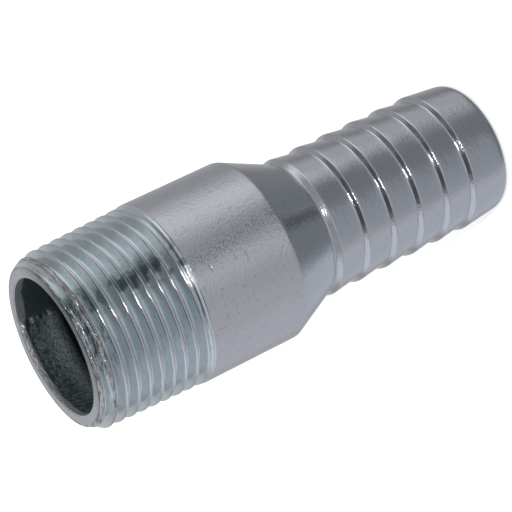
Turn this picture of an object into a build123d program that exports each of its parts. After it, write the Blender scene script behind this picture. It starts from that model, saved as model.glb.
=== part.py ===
from build123d import *
import math
import os

os.makedirs("parts", exist_ok=True)

# Hose barb tail: one steel tube with a taper thread at the top, drawn down through
# a cone to a ringed shank at the bottom.
# Millimetres. The origin is the centre of the end face that goes into the hose,
# +Z runs along the axis to the threaded mouth.
LENGTH = 90.0
BODY_R = 17.1                  # outside of the plain tube

# Taper pipe thread, 11 turns to the inch, 55 degree form, cone of 1 in 16 on diameter
PITCH = 25.4 / 11
THREAD_DEPTH = 0.6403 * PITCH
GAUGE_R = 33.249 / 2           # crest radius at the gauge plane
GAUGE_FROM_FACE = 10.39
CONE_SLOPE = 1 / 32            # radius gained per length
FLANK = math.tan(math.radians(27.5))
TOOTH_FLAT = 0.383             # width of the crest
CUT_OVER = 0.28                # how far the cutter stands out of the crest
CREST_FROM_FACE = 3.75         # the first full crest on the +X side
GROOVE_TURNS = 8.7
FULL_TURNS = 7                 # turns between that crest and the run-out
THREAD_END = 21.86             # from the threaded face to the end of the turned cone
STEP_END = 21.98               # from the threaded face to the full tube
LEAD_IN_R = 14.95              # rim of the threaded face
LEAD_IN_LENGTH = 2.6

# Cone from the tube down to the shank
CONE_TOP = 49.15
CONE_FOOT = 39.5
CONE_FOOT_R = 12.69
SHOULDER_ROUND = 1.4

# Rings on the shank: a long ramp up from the hose end, then a short step down
RINGS = 6
RING_PITCH = 5.98
LOW_CREST = 8.52
CREST_R = 13.35
GROOVE_R = 12.61
STEP_LENGTH = 0.75
CREST_ROUND = 0.38
GROOVE_ROUND = 0.5

# Nose of the shank: the lowest ramp runs on to the end face, and the corner is rounded
NOSE_TIP_R = 12.41
NOSE_ROUND = 1.76

# Passage: wide in the tube, narrow in the shank
MOUTH_BORE_R = 12.85
SHANK_BORE_R = 9.75
BORE_CONE_TOP = 47.6
BORE_CONE_FOOT = 39.4
BORE_BEND_ROUND = 3.0
MOUTH_EDGE_BREAK = 0.1
HOSE_END_CHAMFER = 0.35


def crest_radius(height):
    """Crest radius of the taper thread at a height above the hose end."""
    return GAUGE_R + (LENGTH - height - GAUGE_FROM_FACE) * CONE_SLOPE


turned_foot = LENGTH - THREAD_END
lead_in_foot = LENGTH - LEAD_IN_LENGTH
lead_in_slope = (crest_radius(lead_in_foot) - LEAD_IN_R) / LEAD_IN_LENGTH
groove_start = LENGTH - CREST_FROM_FACE + (0.5 - FULL_TURNS) * PITCH
root_half = (PITCH - TOOTH_FLAT) / 2 - THREAD_DEPTH * FLANK
open_half = root_half + (THREAD_DEPTH + CUT_OVER) * FLANK

with BuildPart() as hose_barb_tail:
    # Tube, cone, rings and nose in one turned section
    with BuildSketch(Plane.XZ) as section:
        with BuildLine():
            corners = [(NOSE_TIP_R, 0)]
            for ring in range(RINGS):
                crest_z = LOW_CREST + ring * RING_PITCH
                corners.append((CREST_R, crest_z))
                if ring < RINGS - 1:
                    corners.append((GROOVE_R, crest_z + STEP_LENGTH))
            corners.append((CONE_FOOT_R, CONE_FOOT))
            corners.append((BODY_R, CONE_TOP))
            corners.append((BODY_R, LENGTH - STEP_END))
            corners.append((crest_radius(turned_foot), turned_foot))
            corners.append((crest_radius(LENGTH), LENGTH))
            corners.append((MOUTH_BORE_R + MOUTH_EDGE_BREAK, LENGTH))
            corners.append((MOUTH_BORE_R, LENGTH - MOUTH_EDGE_BREAK))
            corners.append((MOUTH_BORE_R, BORE_CONE_TOP))
            corners.append((SHANK_BORE_R, BORE_CONE_FOOT))
            corners.append((SHANK_BORE_R, HOSE_END_CHAMFER))
            corners.append((SHANK_BORE_R + HOSE_END_CHAMFER, 0))
            Polyline(*corners, close=True)
        make_face()
        rounds = [
            (NOSE_TIP_R, 0, NOSE_ROUND),
            (BODY_R, CONE_TOP, SHOULDER_ROUND),
            (CONE_FOOT_R, CONE_FOOT, GROOVE_ROUND),
            (MOUTH_BORE_R, BORE_CONE_TOP, BORE_BEND_ROUND),
            (SHANK_BORE_R, BORE_CONE_FOOT, BORE_BEND_ROUND),
        ]
        for ring in range(RINGS):
            crest_z = LOW_CREST + ring * RING_PITCH
            rounds.append((CREST_R, crest_z, CREST_ROUND))
            if ring < RINGS - 1:
                rounds.append((GROOVE_R, crest_z + STEP_LENGTH, GROOVE_ROUND))
        for corner_r, corner_z, size in rounds:
            corner = section.vertices().sort_by_distance((corner_r, corner_z))[0]
            fillet(corner, radius=size)
    revolve(axis=Axis.Z)

    # Thread groove, from its run-out upwards and out through the threaded face
    with BuildLine() as groove_path:
        Helix(
            pitch=PITCH,
            height=GROOVE_TURNS * PITCH,
            radius=crest_radius(groove_start),
            center=(0, 0, groove_start),
            cone_angle=-math.degrees(math.atan(CONE_SLOPE)),
        )
    groove_plane = Plane(origin=groove_path.line @ 0, x_dir=(1, 0, 0), z_dir=groove_path.line % 0)
    with BuildSketch(groove_plane):
        with BuildLine():
            Polyline(
                (-THREAD_DEPTH, -root_half),
                (CUT_OVER, -open_half),
                (CUT_OVER, open_half),
                (-THREAD_DEPTH, root_half),
                (-THREAD_DEPTH, -root_half),
            )
        make_face()
    sweep(path=groove_path.line, is_frenet=True, mode=Mode.SUBTRACT)

    # Lead-in chamfer at the mouth
    with BuildSketch(Plane.XZ):
        with BuildLine():
            Polyline(
                (crest_radius(lead_in_foot) + lead_in_slope, lead_in_foot - 1),
                (LEAD_IN_R - lead_in_slope, LENGTH + 1),
                (BODY_R + 1, LENGTH + 1),
                (BODY_R + 1, lead_in_foot - 1),
                (crest_radius(lead_in_foot) + lead_in_slope, lead_in_foot - 1),
            )
        make_face()
    revolve(axis=Axis.Z, mode=Mode.SUBTRACT)

hose_barb_tail.part.label = "hose_barb_tail"
export_step(hose_barb_tail.part, "parts/hose_barb_tail.step")
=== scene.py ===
"""Hose barb tail: the finished tube, thread, rings and bore, and the studio it stands in.

The tube stands on its hose end at the origin with its axis up +Z, in metres.
"""
import math

import bpy
import mathutils
import numpy as np
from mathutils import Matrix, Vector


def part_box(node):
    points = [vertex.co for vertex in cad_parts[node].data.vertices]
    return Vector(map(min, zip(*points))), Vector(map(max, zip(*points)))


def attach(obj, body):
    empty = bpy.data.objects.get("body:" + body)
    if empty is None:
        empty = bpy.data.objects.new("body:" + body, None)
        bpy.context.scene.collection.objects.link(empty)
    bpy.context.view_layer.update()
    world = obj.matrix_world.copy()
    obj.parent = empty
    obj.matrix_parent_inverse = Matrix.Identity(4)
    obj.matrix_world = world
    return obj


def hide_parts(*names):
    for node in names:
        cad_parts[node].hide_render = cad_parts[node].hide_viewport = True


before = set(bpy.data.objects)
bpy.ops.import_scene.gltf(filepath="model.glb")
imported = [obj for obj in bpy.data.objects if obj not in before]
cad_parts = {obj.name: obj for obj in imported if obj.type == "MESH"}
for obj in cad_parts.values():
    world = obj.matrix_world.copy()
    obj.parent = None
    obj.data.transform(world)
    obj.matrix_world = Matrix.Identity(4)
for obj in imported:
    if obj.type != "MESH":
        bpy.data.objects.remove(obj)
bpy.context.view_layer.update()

bl_info = {
    "name": "Hose Barb Tail",
    "version": (1, 0, 0),
    "blender": (4, 5, 0),
    "location": "3D View > Sidebar > Hose Tail",
    "description": "Makes a zinc-plated hose tail with its taper thread, ringed shank and studio",
    "category": "Object",
}

NODE = "hose_barb_tail"
BODY = "root"
LOW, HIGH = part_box(NODE)
LENGTH = HIGH[2] - LOW[2]
MM = 0.001


# ---------------------------------------------------------------- settings

class HoseTailSizes(bpy.types.PropertyGroup):
    """Sizes of the tube, its thread, its rings and its bore."""

    tube_radius: bpy.props.FloatProperty(
        name="Tube radius", description="Outside radius of the plain tube",
        default=17.1 * MM, unit="LENGTH", precision=5)
    thread_pitch: bpy.props.FloatProperty(
        name="Thread pitch", description="Rise of the thread in one turn",
        default=25.4 / 11 * MM, unit="LENGTH", precision=6)
    gauge_radius: bpy.props.FloatProperty(
        name="Gauge radius", description="Crest radius of the thread at its gauge plane",
        default=33.249 / 2 * MM, unit="LENGTH", precision=6)
    gauge_depth: bpy.props.FloatProperty(
        name="Gauge plane", description="From the threaded face to the gauge plane",
        default=10.39 * MM, unit="LENGTH", precision=5)
    crest_phase: bpy.props.FloatProperty(
        name="First crest", description="From the threaded face to the first full crest on the +X side",
        default=3.75 * MM, unit="LENGTH", precision=5)
    thread_length: bpy.props.FloatProperty(
        name="Thread length", description="From the threaded face to the end of the turned cone",
        default=21.86 * MM, unit="LENGTH", precision=5)
    lead_in: bpy.props.FloatProperty(
        name="Lead-in", description="Length of the chamfer that starts the thread",
        default=2.6 * MM, unit="LENGTH", precision=5)
    ring_pitch: bpy.props.FloatProperty(
        name="Ring spacing", description="Distance between the crests of the rings",
        default=5.98 * MM, unit="LENGTH", precision=5)
    ring_radius: bpy.props.FloatProperty(
        name="Ring radius", description="Radius at the crests of the rings",
        default=13.35 * MM, unit="LENGTH", precision=5)
    groove_radius: bpy.props.FloatProperty(
        name="Groove radius", description="Radius at the foot of each ring's step",
        default=12.61 * MM, unit="LENGTH", precision=5)
    mouth_bore: bpy.props.FloatProperty(
        name="Mouth bore", description="Radius of the bore in the tube",
        default=12.85 * MM, unit="LENGTH", precision=5)
    shank_bore: bpy.props.FloatProperty(
        name="Shank bore", description="Radius of the bore in the shank",
        default=9.75 * MM, unit="LENGTH", precision=5)
    seam_angle: bpy.props.FloatProperty(
        name="Weld seam", description="Where the weld seam runs down the bore, round from +X",
        default=math.radians(62.5), subtype="ANGLE")
    seam_height: bpy.props.FloatProperty(
        name="Seam height", description="How far the weld bead stands into the bore",
        default=0.55 * MM, unit="LENGTH", precision=6)


class HoseTailFinish(bpy.types.PropertyGroup):
    """Colours of the plating."""

    plate: bpy.props.FloatVectorProperty(
        name="Plating", description="Zinc plate on the tube and the rings",
        default=(0.60, 0.61, 0.635), size=3, min=0, max=1, subtype="COLOR")
    blue: bpy.props.FloatVectorProperty(
        name="Blue bloom", description="Bluish passivation in the thread",
        default=(0.69, 0.76, 0.775), size=3, min=0, max=1, subtype="COLOR")
    bore: bpy.props.FloatVectorProperty(
        name="Bore", description="Thin dull plating inside the bore",
        default=(0.42, 0.53, 0.54), size=3, min=0, max=1, subtype="COLOR")


class HoseTailStudio(bpy.types.PropertyGroup):
    """The floor, the lamps and the camera."""

    floor: bpy.props.FloatVectorProperty(
        name="Floor", description="Colour of the floor",
        default=(0.86, 0.86, 0.86), size=3, min=0, max=1, subtype="COLOR")
    world: bpy.props.FloatProperty(
        name="Surroundings", description="Strength of the white surroundings",
        default=0.75, min=0)
    key: bpy.props.FloatProperty(
        name="Key lamp", description="Power of the small lamp over the camera",
        default=2.8, min=0, unit="POWER")
    camera_place: bpy.props.FloatVectorProperty(
        name="Camera place", description="Where the camera stands",
        default=(-0.001161, -0.360063, 0.210787), size=3, subtype="TRANSLATION", unit="LENGTH")
    camera_turn: bpy.props.FloatVectorProperty(
        name="Camera turn", description="How the camera is turned",
        default=tuple(math.radians(a) for a in (-44.19239, 55.03795, -139.87022)), size=3,
        subtype="EULER")
    lens: bpy.props.FloatProperty(
        name="Lens", description="Focal length of the camera on a 36 mm sensor",
        default=156.365, subtype="DISTANCE_CAMERA")


# ---------------------------------------------------------------- surfaces

def rounded(corners, arc_points=7):
    """A profile (radius, height) through corners, each rounded by its own radius.

    At a corner p between unit directions u and w to its neighbours, with angle b between
    them, the arc of radius R starts at p + u R / tan(b/2), ends at p + w R / tan(b/2), and
    its points are centre + cos and sin of evenly spaced angles between those two ends.
    """
    corners = np.asarray(corners, float)
    p, rad = corners[:, :2], corners[:, 2]
    ahead, back = np.roll(p, -1, 0) - p, np.roll(p, 1, 0) - p
    w = ahead / np.linalg.norm(ahead, axis=1, keepdims=True)
    u = back / np.linalg.norm(back, axis=1, keepdims=True)
    half = np.arccos(np.clip((u * w).sum(1), -1, 1)) / 2
    reach = (rad / np.tan(half))[:, None]
    middle = u + w
    middle = middle / np.linalg.norm(middle, axis=1, keepdims=True)
    centre = p + middle * (rad / np.sin(half))[:, None]
    start, stop = p + u * reach - centre, p + w * reach - centre
    a0 = np.arctan2(start[:, 1], start[:, 0])
    turn = np.arctan2(stop[:, 1], stop[:, 0]) - a0
    turn = (turn + np.pi) % (2 * np.pi) - np.pi
    t = np.linspace(0, 1, arc_points)
    angle = a0[:, None] + turn[:, None] * t
    arc = centre[:, None] + rad[:, None, None] * np.stack([np.cos(angle), np.sin(angle)], -1)
    sharp = rad <= 0
    return np.concatenate([p[i:i + 1] if sharp[i] else arc[i] for i in range(len(p))])


def filled(profile, spacing):
    """The same profile with extra points on its straights, no further apart than spacing."""
    gaps = np.linalg.norm(np.diff(profile, axis=0), axis=1)
    counts = np.maximum(1, np.ceil(gaps / spacing).astype(int))
    place = np.concatenate([k + np.arange(n) / n for k, n in enumerate(counts)] + [[len(gaps)]])
    index = np.arange(len(profile))
    return np.stack([np.interp(place, index, profile[:, c]) for c in (0, 1)], 1)


def thread_form(off, pitch):
    """How far a 55 degree thread lies below its crest, off from the nearest crest.

    The flank falls by 1 / tan(27.5 degrees) from a corner just beside the crest's middle
    to a corner just beside the root's. Each corner is rounded by an arc that touches both
    of its lines at a distance radius * tan(31.25 degrees) from the corner.
    """
    lean = math.radians(27.5)
    crest, crest_arc = 0.070 * pitch, 0.095 * pitch
    root, root_arc = 0.052 * pitch, 0.078 * pitch
    depth = (pitch / 2 - crest - root) / math.tan(lean)
    drop = np.clip((off - crest) / math.tan(lean), 0, depth)
    touch = crest_arc * math.tan(math.pi / 4 - lean / 2)
    side = np.clip(off - (crest - touch), 0, crest_arc)
    arc = crest_arc - np.sqrt(crest_arc ** 2 - side ** 2)
    drop = np.where(off < crest + touch * math.sin(lean), arc, drop)
    touch = root_arc * math.tan(math.pi / 4 - lean / 2)
    back = pitch / 2 - off
    side = np.clip(back - (root - touch), 0, root_arc)
    arc = depth - root_arc + np.sqrt(root_arc ** 2 - side ** 2)
    return np.where(back < root + touch * math.sin(lean), arc, drop), depth


def around(sizes, count):
    """Angles round the axis, closer together near the weld seam.

    Their density is 1 + 2.5 exp(-((angle - seam) / 9 degrees)^2), summed and inverted.
    """
    fine = np.linspace(0, 2 * np.pi, 4001)
    off = (fine - sizes.seam_angle + np.pi) % (2 * np.pi) - np.pi
    density = 1 + 2.5 * np.exp(-(off / math.radians(9)) ** 2)
    total = np.concatenate([[0], np.cumsum((density[1:] + density[:-1]) / 2)])
    total /= total[-1]
    return np.interp(np.arange(count) / count, total, fine)


def thread_turns(sizes, depth, angle):
    """Turns past the first crest: (depth - first crest) / pitch + angle / 2 pi."""
    return (depth - sizes.crest_phase) / sizes.thread_pitch + angle / (2 * np.pi)


def thread_rows(sizes, count, angle):
    """Depths of the rows, drawn together at crests and roots all the way round.

    An even row u moves by -0.62 pitch / 4 pi * sin(4 pi turns), which closes the rows up
    where the turns are whole or half; the move fades out at both ends of the thread.
    """
    even = np.linspace(sizes.thread_length - 0.1 * MM, 0, count)[:, None]
    fade = np.clip((sizes.thread_length - 0.1 * MM - even) / (0.8 * MM), 0, 1)
    fade = fade * np.clip(even / (0.8 * MM), 0, 1)
    shift = np.sin(4 * np.pi * thread_turns(sizes, even, angle[None]))
    return even - fade * 0.62 * sizes.thread_pitch / (4 * np.pi) * shift


def thread_radius(sizes, depth, angle):
    """Radius of the threaded end, and how much of it the lead-in has cut away.

    The crest cone grows by 1/32 of depth, and the form lies under it. A 45 degree
    washout ends the last groove, and the lead-in chamfer cuts the first crests.
    """
    cone = sizes.gauge_radius + (depth - sizes.gauge_depth) / 32
    turns = thread_turns(sizes, depth, angle)
    off = np.abs(turns - np.round(turns)) * sizes.thread_pitch
    drop, deepest = thread_form(off, sizes.thread_pitch)
    washout = (sizes.thread_length - 0.45 * MM - depth) * 1.02
    radius = cone - np.clip(drop, 0, np.maximum(washout, 0))
    face_rim = 14.95 * MM
    lead_in_rim = sizes.gauge_radius + (sizes.lead_in - sizes.gauge_depth) / 32
    chamfer = face_rim + (lead_in_rim - face_rim) / sizes.lead_in * depth
    cut = np.clip((radius - chamfer) / (0.05 * MM), 0, 1)
    return np.minimum(radius, chamfer), cut, 1 - np.clip(drop / deepest, 0, 1)


def bore_radius(sizes, depth, angle, plain):
    """Radius of the bore: the plain one less the weld bead, and ragged at the rim.

    The bead is exp(-(off / width)^4) of the angle off the seam, lumpy along its length by
    a sum of sines, nearly gone in a short gap behind the rim. Past the seam a torn edge
    stands in at the rim, its height a sum of sines of the angle that dies away.
    """
    off = (angle - sizes.seam_angle + np.pi) % (2 * np.pi) - np.pi
    deep = depth / MM
    bead = np.exp(-(off / math.radians(2.6)) ** 4)
    lumps = 0.75 + 0.22 * np.sin(deep * 2.1 + 0.4) + 0.18 * np.sin(deep * 5.3)
    gap = 1 - 0.85 * np.exp(-((deep - 1.75) / 0.55) ** 2)
    tip = 0.9 * np.exp(-((deep - 0.7) / 0.6) ** 2)
    behind = 1 / (1 + np.exp(-off / math.radians(0.7)))
    behind = behind * np.exp(-np.maximum(off, 0) / math.radians(46))
    torn = 0.5 + 0.2 * np.sin(off * 23) + 0.16 * np.sin(off * 61 + 1) + 0.1 * np.sin(off * 131)
    torn = torn * np.clip(1.25 - np.abs(deep - 0.75) / 0.55, 0, 1)
    lift = sizes.seam_height * bead * (lumps * gap + tip) + 0.30 * MM * behind * torn
    return plain - lift


def tail_grid(sizes):
    """The whole tube as one closed sheet: rows along its section, columns round its axis."""
    phi = around(sizes, 192)
    height = LENGTH
    tube = sizes.tube_radius
    # Shank from the end face upwards, then cone and tube, in millimetres
    crest, groove, foot = sizes.ring_radius / MM, sizes.groove_radius / MM, 12.69
    low_crest, step = 8.52, 0.75
    crest_round, groove_round = 0.38, 0.5
    end_wall, nose, nose_round = 10.2, 12.41, 1.76
    cone_foot, cone_top, shoulder_round = 39.5, 49.15, 1.4
    rings = low_crest + np.arange(6) * sizes.ring_pitch / MM
    corners = [(end_wall, 0.0, 0), (nose, 0.0, nose_round)]
    for z in rings[:-1]:
        corners += [(crest, z, crest_round), (groove, z + step, groove_round)]
    corners += [(crest, rings[-1], crest_round), (foot, cone_foot, groove_round)]
    corners += [(tube / MM, cone_top, shoulder_round), (tube / MM, 68.0, 0)]
    shank = filled(rounded(corners, 9), 1.1) * MM
    # Step from the tube down to the turned cone, then the thread
    thread_end = sizes.thread_length
    turned = sizes.gauge_radius + (thread_end - sizes.gauge_depth) / 32
    step_depth = thread_end + np.array([0.22, 0.14, 0.12, 0.02, 0.0, -0.05]) * MM
    step_radius = np.array([tube, tube, tube - 0.01 * MM, turned + 0.01 * MM, turned, turned])
    depth = thread_rows(sizes, 244, phi)
    # Face, bore and back
    mouth, inner = sizes.mouth_bore / MM, sizes.shank_bore / MM
    inside = rounded([
        (mouth + 0.1, 90.0, 0.0), (mouth, 89.9, 0.04), (mouth, 47.6, 3.0), (inner, 39.4, 3.0),
        (inner, 0.35, 0.1), (inner + 0.35, 0.0, 0.0)])
    inside = filled(inside, 2.2)
    near = np.stack([np.full(21, mouth), np.linspace(89.6, 84.0, 21)], 1)
    past = inside[:, 1] < 83.5
    inside = np.concatenate([inside[inside[:, 1] > 89.7], near, inside[past]]) * MM
    ones = np.ones_like(phi)
    rows_r, rows_z = [], []
    rows_r.append(shank[:-1, :1] * ones)
    rows_z.append(shank[:-1, 1:] * ones)
    rows_r.append(step_radius[:, None] * ones)
    rows_z.append((height - step_depth)[:, None] * ones)
    thread, cut, rise = thread_radius(sizes, depth, phi[None])
    rows_r.append(thread)
    rows_z.append(height - depth)
    rows_r.append(np.array([[14.2], [13.6]]) * MM * ones)
    rows_z.append(np.full((2, len(phi)), height))
    plain = inside[:, :1]
    fade = np.clip((inside[:, 1:] - 44 * MM) / (4 * MM), 0, 1)
    bored = bore_radius(sizes, height - inside[:, 1:], phi[None], plain)
    rows_r.append(plain + (bored - plain) * fade)
    rows_z.append(inside[:, 1:] * ones)
    r = np.concatenate(rows_r)
    z = np.concatenate(rows_z)
    marks = np.zeros(r.shape + (4,))
    first = len(rows_r[0]) + len(rows_r[1])
    marks[first:first + len(depth), :, 0] = rise
    marks[first:first + len(depth), :, 1] = cut
    return np.stack([r * np.cos(phi), r * np.sin(phi), z], -1), marks


def closed_sheet(name, grid, marks):
    """A mesh from a grid that closes on itself both ways, with its faces outwards, and
    a point attribute of marks: red rises from root to crest, green is the lead-in's cut."""
    rows, cols = grid.shape[:2]
    index = np.arange(rows * cols).reshape(rows, cols)
    right, up = np.roll(index, -1, 1), np.roll(index, -1, 0)
    quads = np.stack([index, right, np.roll(right, -1, 0), up], -1).reshape(-1, 4)
    mesh = bpy.data.meshes.new(name)
    mesh.from_pydata(grid.reshape(-1, 3), [], quads)
    mesh.polygons.foreach_set("use_smooth", np.ones(len(quads), bool))
    paint = mesh.attributes.new("marks", "FLOAT_COLOR", "POINT")
    paint.data.foreach_set("color", marks.reshape(-1).astype(np.float32))
    mesh.update()
    piece = bpy.data.objects.new(name, mesh)
    bpy.context.scene.collection.objects.link(piece)
    return piece


# ---------------------------------------------------------------- shader maths

class Value:
    """A socket whose sums and products add their own Math nodes."""

    def __init__(self, paint, socket):
        self.paint = paint
        self.socket = socket

    def math(self, operation, *others, clamp=False):
        node = self.paint.add("ShaderNodeMath", operation=operation, use_clamp=clamp)
        for slot, value in enumerate((self,) + others):
            self.paint.feed(node.inputs[slot], value)
        return Value(self.paint, node.outputs[0])

    def __add__(self, other):
        return self.math("ADD", other)

    def __mul__(self, other):
        return self.math("MULTIPLY", other)

    def __sub__(self, other):
        return self.math("SUBTRACT", other)

    def __rsub__(self, other):
        return (self * -1.0) + other

    def __pow__(self, other):
        return self.math("POWER", other)

    __radd__ = __add__

    def between(self, low, high):
        """0 at low, 1 at high, straight in between and held outside."""
        return ((self - low) * (1.0 / (high - low))).math("ADD", 0.0, clamp=True)


class Paint:
    """Builds one material's node tree."""

    def __init__(self, tree):
        self.tree = tree
        tree.nodes.clear()

    def add(self, kind, links=None, **settings):
        """A node of a type, its settings, then the values or links of its named sockets."""
        node = self.tree.nodes.new(kind)
        for key, value in settings.items():
            setattr(node, key, value)
        for key, value in (links or {}).items():
            self.feed(node.inputs[key], value)
        return node

    def feed(self, socket, value):
        if isinstance(value, Value):
            value = value.socket
        if isinstance(value, bpy.types.NodeSocket):
            self.tree.links.new(value, socket)
        elif hasattr(value, "__len__") and len(value) == 3 and len(socket.default_value) == 4:
            socket.default_value = tuple(value) + (1.0,)
        else:
            socket.default_value = value

    def out(self, node, name):
        return Value(self, node.outputs[name])

    def mix(self, factor, first, second):
        node = self.add("ShaderNodeMix", {0: factor, 6: first, 7: second}, data_type="RGBA")
        return node.outputs[2]

    def vector(self, operation, first, *second):
        """A Vector Math node of one or two vectors."""
        return self.add("ShaderNodeVectorMath", dict(enumerate((first,) + second)), operation=operation)

    def noise(self, vector, scale, detail=2.0, rough=0.5):
        node = self.add("ShaderNodeTexNoise", {
            "Vector": vector, "Scale": scale, "Detail": detail, "Roughness": rough})
        return self.out(node, "Fac")


# ---------------------------------------------------------------- finish

def dent(paint, place, at, along, long, wide):
    """1 in the middle of a small dent at a point, 0 at its edge: 1 - (offset / size)^2,
    the offset taken apart into its part along the dent and the rest."""
    away = paint.vector("SUBTRACT", place, tuple(at)).outputs[0]
    run = paint.out(paint.vector("DOT_PRODUCT", away, tuple(along)), "Value")
    gap = paint.out(paint.vector("LENGTH", away), "Value")
    side = gap * gap - run * run
    hollow = 1.0 - side * (1 / wide ** 2) - run * run * (1 / long ** 2)
    return hollow.math("ADD", 0.0, clamp=True)


def zinc_plate(sizes, finish):
    """Bright zinc plate: satin and finely pitted on the tube, freshly cut and blue-green
    in the thread with a painted warm reflection on its crests, smoother on the rings, thin and dull in
    the bore, with painted light past the weld seam and painted shade elsewhere in it."""
    material = bpy.data.materials.new("zinc_plate")
    material.use_nodes = True
    paint = Paint(material.node_tree)
    place = paint.add("ShaderNodeTexCoord").outputs["Object"]
    split = paint.add("ShaderNodeSeparateXYZ", {"Vector": place})
    x, y, z = (paint.out(split, axis) for axis in "XYZ")
    marks = paint.add("ShaderNodeAttribute", attribute_name="marks")
    marks = paint.add("ShaderNodeSeparateColor", {"Color": marks.outputs["Color"]})
    rise, cut = paint.out(marks, "Red"), paint.out(marks, "Green")
    depth = LENGTH - z
    radius = (x * x + y * y) ** 0.5
    thread_foot = LENGTH - sizes.thread_length
    in_bore = 1.0 - radius.between(sizes.mouth_bore + 0.01 * MM, sizes.mouth_bore + 0.08 * MM)
    in_bore = in_bore * z.between(40.2 * MM, 41.0 * MM)
    in_shank = 1.0 - radius.between(sizes.shank_bore + 0.15 * MM, sizes.shank_bore + 0.30 * MM)
    in_bore = in_bore + in_shank * (1.0 - in_bore)
    outside = 1.0 - in_bore
    in_thread = z.between(thread_foot - 0.1 * MM, thread_foot) * outside
    face = z.between(LENGTH - 0.05 * MM, LENGTH - 0.01 * MM) * outside
    on_shank = 1.0 - z.between(48.4 * MM, 49.6 * MM)
    on_tube = (1.0 - on_shank) * (1.0 - in_thread) * outside

    cloud = paint.noise(place, 110.0, 4.0, 0.6)
    wave = paint.noise(place, 260.0, 2.0, 0.5)
    speck = paint.noise(place, 1300.0, 3.0, 0.7)
    grain = paint.noise(place, 2400.0, 2.0, 0.6)
    squeezed = paint.vector("MULTIPLY", place, (1.0, 1.0, 14.0)).outputs[0]
    turned = paint.noise(squeezed, 420.0, 3.0, 0.65)
    turn = paint.out(paint.add("ShaderNodeMath", {0: y, 1: x}, operation="ARCTAN2"), 0)
    seam = turn - sizes.seam_angle
    # A strip along the tube where the plate took badly and is pitted
    drift = depth * (0.42 / MM) - 12.0
    strip = turn * math.degrees(1) - drift
    poor = strip.between(-88.0, -81.0) * (1.0 - strip.between(-79.0, -70.0)) * outside
    # Painted shade: dark mottles in the thread, round from -85 to -60 degrees, where its reflection
    # runs dark
    painted_dark_band = turn.between(math.radians(-85), math.radians(-80))
    painted_dark_band = painted_dark_band * (1.0 - turn.between(math.radians(-70), math.radians(-60))) * in_thread

    # Outside: zinc, bluer in the thread, with a painted warm reflection on its crests and a warm tone
    # on its torn cuts
    colour = paint.mix(in_thread * (1.0 - face), finish.plate, finish.blue)
    warm_crest_reflection = rise.between(0.80, 0.97) * in_thread * (1.0 - face)
    colour = paint.mix(warm_crest_reflection * 0.85, colour, (0.67, 0.65, 0.665))
    colour = paint.mix(cut * cloud.between(0.45, 0.60) * 0.6, colour, (0.55, 0.50, 0.47))
    colour = paint.mix(cut * turned.between(0.50, 0.56) * 0.9, colour, (0.12, 0.11, 0.11))
    colour = paint.mix(cloud.between(0.35, 0.75) * 0.30, colour, (0.52, 0.53, 0.56))
    specks = speck.between(0.60, 0.72) * (0.35 + on_tube * 0.25)
    colour = paint.mix(specks, colour, (0.34, 0.35, 0.37))
    fleck = paint.noise(place, 3600.0, 3.0, 0.75)
    pits = fleck.between(0.50, 0.62) * poor * (on_tube * 0.80 + on_shank * 0.30)
    colour = paint.mix(pits, colour, (0.13, 0.13, 0.14))
    # Painted shade in the thread's dark reflection band
    colour = paint.mix(wave.between(0.48, 0.53) * painted_dark_band * 0.55, colour, (0.10, 0.15, 0.14))
    # A darker side of the face, and the torn first turn beside it
    darker_face_side = turn.between(math.radians(-158), math.radians(-92))
    darker_face_side = darker_face_side * (1.0 - turn.between(math.radians(-58), math.radians(-6)))
    torn_turn = turn.between(math.radians(-126), math.radians(-114))
    torn_turn = torn_turn * (1.0 - turn.between(math.radians(-74), math.radians(-60)))
    start = (1.0 - depth.between(2.4 * MM, 3.8 * MM)) * in_thread * (1.0 - face) * torn_turn
    colour = paint.mix(start * turned.between(0.52, 0.57) * 0.8, colour, (0.07, 0.07, 0.07))
    # The face is darker on its side round from -158 to -6 degrees, with turned marks in it
    colour = paint.mix(face * darker_face_side * (0.70 + turned * 0.45), colour, (0.08, 0.095, 0.10))

    # Bore: light at the rim, grained, with painted light past the seam, painted shade before the seam
    # and painted shadow deeper in
    below = seam.between(-0.02, 0.02)
    lip = 1.45 * MM + (wave - 0.5) * 1.2 * MM - below * 0.35 * MM
    bore_lit_and_shaded = paint.mix(speck.between(0.40, 0.66), (0.09, 0.13, 0.135), finish.bore)
    # Painted light on the bore wall past the weld seam
    lit = depth.between(3.2 * MM, 5.4 * MM) * below * fleck.between(0.36, 0.60)
    bore_lit_and_shaded = paint.mix(lit, bore_lit_and_shaded, (0.80, 0.93, 0.95))
    # Painted shade on the bore wall before the weld seam
    bore_lit_and_shaded = paint.mix(1.0 - below * 0.85, bore_lit_and_shaded, (0.15, 0.19, 0.19))
    # Painted shadow deeper in the bore
    bore_lit_and_shaded = paint.mix(depth.between(6.2 * MM, 8.2 * MM), bore_lit_and_shaded, (0.03, 0.035, 0.035))
    bore = paint.mix((depth - lip).between(-0.12 * MM, 0.12 * MM), (0.58, 0.59, 0.61), bore_lit_and_shaded)
    colour = paint.mix(in_bore, colour, bore)

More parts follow.
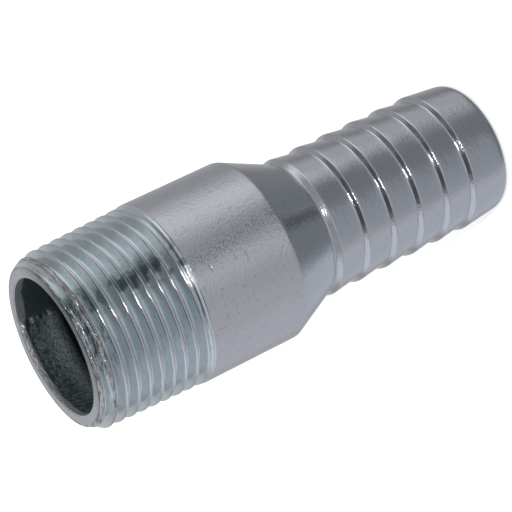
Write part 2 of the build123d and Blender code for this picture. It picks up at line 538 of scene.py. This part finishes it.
    # Sheen and relief
    rough = 0.20 + cloud * 0.05 - on_shank * 0.10 - in_thread * 0.09 + in_bore * 0.26
    torn = in_bore * below * (1.0 - depth.between(1.0 * MM, 1.6 * MM))
    relief = grain * (0.6 + on_tube * 1.2 + in_bore * 1.6 + torn * 3.0)
    relief = relief + speck * (0.9 + on_tube * 0.8 + in_bore * 1.2)
    relief = relief + wave * (2.2 + in_thread * 0.8)
    relief = relief + turned * (0.35 + cut * 4.0 + face * 2.0 + start * 4.5)
    for at, along, long, wide, deep in DENTS:
        relief = relief - dent(paint, place, at, along, long, wide) * deep
    bump = paint.add("ShaderNodeBump", {"Height": relief, "Strength": 1.0, "Distance": 0.03 * MM})
    shader = paint.add("ShaderNodeBsdfPrincipled", {
        "Base Color": colour, "Metallic": 1.0, "Roughness": rough, "Normal": bump.outputs[0]})
    paint.add("ShaderNodeOutputMaterial", {"Surface": shader.outputs[0]})
    return material


def tube_spot(depth, turn):
    """A point on the tube, depth in millimetres from the threaded face, and the way round it."""
    a = math.radians(turn)
    at = np.array([17.1 * math.cos(a), 17.1 * math.sin(a), 90.0 - depth]) * MM
    return at, np.array([-math.sin(a), math.cos(a), 0.0])


# Handling marks on the tube: where, which way, half length and half width, how deep.
DENTS = (
    (*tube_spot(25.4, -88.0), 1.1 * MM, 0.20 * MM, 1.9),
    (*tube_spot(30.3, -89.1), 0.7 * MM, 0.16 * MM, 1.2),
    (*tube_spot(32.4, -90.3), 0.8 * MM, 0.16 * MM, 1.3),
    (*tube_spot(22.9, -98.2), 0.6 * MM, 0.20 * MM, 1.6),
    (*tube_spot(38.8, -124.8), 0.45 * MM, 0.30 * MM, 2.6),
)


def floor_paint(studio):
    """Matt pale floor that reads white and keeps the object's shadow."""
    material = bpy.data.materials.new("studio_floor")
    material.use_nodes = True
    paint = Paint(material.node_tree)
    ray = paint.add("ShaderNodeLightPath")
    seen = paint.out(ray, "Is Camera Ray") + paint.out(ray, "Is Glossy Ray")
    seen = seen + paint.out(ray, "Is Transmission Ray")
    shader = paint.add("ShaderNodeBsdfPrincipled", {
        "Base Color": studio.floor, "Roughness": 0.9, "Specular IOR Level": 0.1,
        "Emission Color": (1.0, 1.0, 1.0), "Emission Strength": seen * 0.42})
    paint.add("ShaderNodeOutputMaterial", {"Surface": shader.outputs[0]})
    return material


# Tints that a card's grey is multiplied by.
PLAIN = (0.98, 1.0, 1.04)
LILAC = (1.02, 1.0, 1.08)
COOL = (0.93, 1.0, 1.11)
BASE_GREY = 0.40
CARD_SOFTNESS = 7

# Grey cards that only reflections show, laid out by what mirrors them. Each has its direction
# round from +X and up from level in degrees, its half width in degrees, its grey and tint.
# A later card covers an earlier one.
CARDS = (
    # Behind, and the whole left side
    (90, 0, 33, 0.55, PLAIN),
    (162, -30, 32, 0.60, LILAC),
    (155, -48, 24, 0.58, COOL),
    # Low in front, from the bright right strip round to the left: the tube's wall
    (-17, -16, 29, 0.60, PLAIN),
    (-16, -18, 14, 0.85, PLAIN),
    (-60, -22, 12, 0.46, PLAIN),
    (-95, -20, 14, 0.67, LILAC),
    (-138, -22, 22, 0.54, LILAC),
    # Lower still: the ramps of the rings
    (30, -47, 17, 0.27, PLAIN),
    (-122, -47, 20, 0.41, COOL),
    (12, -36, 10, 0.52, PLAIN),
    (-60, -50, 18, 0.23, PLAIN),
    # Nearly straight down: the cone and its foot
    (-60, -76, 34, 0.25, COOL),
    (-68, -74, 3, 0.05, COOL),
    # Level and above: the flanks of the thread and the steps of the rings
    (165, 34, 30, 0.77, COOL),
    (-112, 6, 10, 0.65, PLAIN),
    (-6, 6, 17, 1.0, PLAIN),
    (-92, 74, 36, 0.08, COOL),
    (-12, 45, 13, 0.18, PLAIN),
)


def toward(round_deg, up_deg):
    """Unit direction at an angle round from +X and an angle up from level."""
    a, e = math.radians(round_deg), math.radians(up_deg)
    return np.array([math.cos(e) * math.cos(a), math.cos(e) * math.sin(a), math.sin(e)])


def paint_surroundings(paint, studio):
    """White surroundings, with the soft grey cards of a studio in what the metal reflects."""
    ray = paint.add("ShaderNodeLightPath")
    way = paint.add("ShaderNodeTexCoord").outputs["Generated"]
    seen = paint.out(ray, "Is Camera Ray")
    colour = tuple(BASE_GREY * part for part in PLAIN)
    for turn, rise, half, grey, tint in CARDS:
        soft = min(CARD_SOFTNESS, half)
        towards = paint.out(paint.vector("DOT_PRODUCT", way, tuple(toward(turn, rise))), "Value")
        outer = math.cos(math.radians(half + soft))
        inner = math.cos(math.radians(half - soft))
        card = tuple(grey * part for part in tint)
        colour = paint.mix(towards.between(outer, inner), colour, card)
    colour = paint.mix(paint.out(ray, "Is Glossy Ray"), (1.0, 1.0, 1.0), colour)
    glow = seen * (1.0 - studio.world) + studio.world
    glow = glow + paint.out(ray, "Is Glossy Ray") * (1.0 - studio.world)
    back = paint.add("ShaderNodeBackground", {"Color": colour, "Strength": glow})
    paint.add("ShaderNodeOutputWorld", {"Surface": back.outputs[0]})


# ---------------------------------------------------------------- operators

class HOSETAIL_OT_tube(bpy.types.Operator):
    """Make the whole hose tail: tube, thread, cone, rings, nose and bore"""

    bl_idname = "hosetail.tube"
    bl_label = "Hose Tail"

    def execute(self, context):
        sizes, finish = context.scene.hosetail_sizes, context.scene.hosetail_finish
        piece = closed_sheet("hose_tail", *tail_grid(sizes))
        piece.data.materials.append(zinc_plate(sizes, finish))
        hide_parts(NODE)
        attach(piece, BODY)
        return {"FINISHED"}


class HOSETAIL_OT_studio(bpy.types.Operator):
    """Make the floor, the surroundings, the lamps and the camera"""

    bl_idname = "hosetail.studio"
    bl_label = "Studio"

    def execute(self, context):
        studio = context.scene.hosetail_studio
        scene = context.scene
        mesh = bpy.data.meshes.new("floor")
        side = 3.0
        corners = np.array([(-side, -side, 0), (side, -side, 0), (side, side, 0), (-side, side, 0)])
        mesh.from_pydata(corners, [], [(0, 1, 2, 3)])
        floor = bpy.data.objects.new("floor", mesh)
        floor.data.materials.append(floor_paint(studio))
        floor.visible_glossy = False
        scene.collection.objects.link(floor)

        world = bpy.data.worlds.new("surroundings")
        world.use_nodes = True
        scene.world = world
        paint_surroundings(Paint(world.node_tree), studio)

        lamp = bpy.data.lights.new("key_lamp", "AREA")
        lamp.shape = "DISK"
        lamp.size = 0.03
        lamp.energy = studio.key
        bulb = bpy.data.objects.new("key_lamp", lamp)
        aim = toward(-84.0, 42.0)
        bulb.location = aim * 0.9 + np.array([0, 0, 0.05])
        bulb.rotation_euler = mathutils.Vector(aim).to_track_quat("Z", "Y").to_euler()
        scene.collection.objects.link(bulb)

        camera = bpy.data.cameras.new("camera")
        camera.lens = studio.lens
        camera.sensor_width = 36.0
        camera.clip_start = 0.01
        camera.clip_end = 20.0
        seat = bpy.data.objects.new("camera", camera)
        seat.location = studio.camera_place
        seat.rotation_euler = studio.camera_turn
        scene.collection.objects.link(seat)
        scene.camera = seat
        scene.view_settings.view_transform = "Standard"
        return {"FINISHED"}


class HOSETAIL_PT_panel(bpy.types.Panel):
    """Lists the hose tail's pieces and their settings"""

    bl_idname = "HOSETAIL_PT_panel"
    bl_label = "Hose Tail"
    bl_space_type = "VIEW_3D"
    bl_region_type = "UI"
    bl_category = "Hose Tail"

    def draw(self, context):
        for settings, operator in (
                (context.scene.hosetail_sizes, HOSETAIL_OT_tube.bl_idname),
                (context.scene.hosetail_finish, None),
                (context.scene.hosetail_studio, HOSETAIL_OT_studio.bl_idname)):
            box = self.layout.box()
            for name in type(settings).__annotations__:
                box.prop(settings, name)
            if operator:
                box.operator(operator)


CLASSES = (
    HoseTailSizes, HoseTailFinish, HoseTailStudio,
    HOSETAIL_OT_tube, HOSETAIL_OT_studio, HOSETAIL_PT_panel,
)


def register():
    """Adds the classes and their settings to Blender."""
    for entry in CLASSES:
        bpy.utils.register_class(entry)
    bpy.types.Scene.hosetail_sizes = bpy.props.PointerProperty(type=HoseTailSizes)
    bpy.types.Scene.hosetail_finish = bpy.props.PointerProperty(type=HoseTailFinish)
    bpy.types.Scene.hosetail_studio = bpy.props.PointerProperty(type=HoseTailStudio)


def unregister():
    """Takes them out again."""
    del bpy.types.Scene.hosetail_sizes
    del bpy.types.Scene.hosetail_finish
    del bpy.types.Scene.hosetail_studio
    for entry in reversed(CLASSES):
        bpy.utils.unregister_class(entry)


def plain(box):
    """A box as two plain lists of numbers."""
    return [[float(v) for v in corner] for corner in box]


def main():
    """Makes the piece and the studio."""
    register()
    bpy.ops.hosetail.tube()
    bpy.ops.hosetail.studio()


if __name__ == "__main__":
    main()
